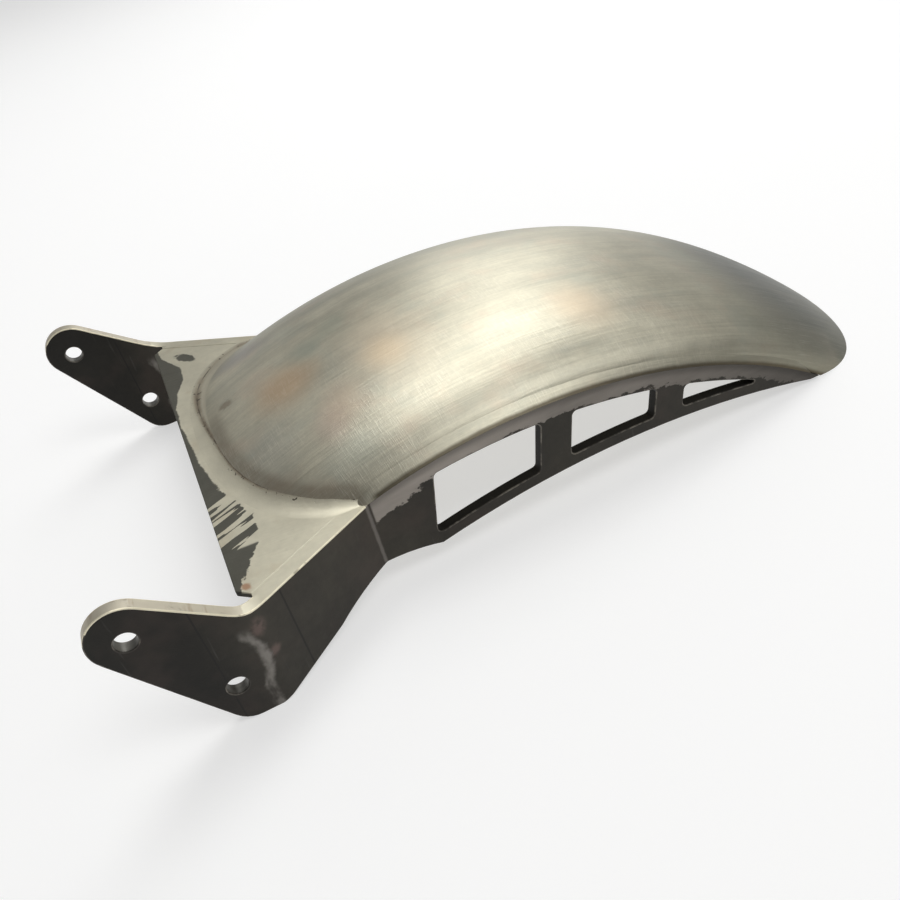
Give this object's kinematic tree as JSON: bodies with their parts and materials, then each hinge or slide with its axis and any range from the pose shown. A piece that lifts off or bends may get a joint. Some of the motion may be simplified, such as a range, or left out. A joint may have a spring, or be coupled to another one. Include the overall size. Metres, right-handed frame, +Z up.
{
  "type": "motorcycle rear fender",
  "caption": "Short domed steel rear fender on two bent side struts with windows, bolted to the frame through an ear on each side.",
  "frame": {"origin": "on the floor, under the middle of the fender's length and width", "axes": "+X toward the tail, +Y toward the fender's right side, +Z up; the ears are at -X"},
  "size_m": [0.4332, 0.273, 0.0884],
  "materials": {
    "ground_steel": "bare sheet steel, sanded and ground with flap-disc marks, faint heat tints",
    "pale_plate": "bare sheet steel ground pale, with dark mill scale left along its front edge",
    "mill_scale": "hot-rolled steel plate with dark mill scale, ground bright along its cut edges",
    "weld": "weld bead ground down, with small pits"
  },
  "bodies": {
    "root": {"fender_shell": "ground_steel", "front_plate": "pale_plate", "left_strut": "mill_scale", "right_strut": "mill_scale", "nose_weld": "weld", "left_plate_weld": "weld", "right_plate_weld": "weld", "left_rail_weld": "weld", "right_rail_weld": "weld"}
  },
  "joints": []
}
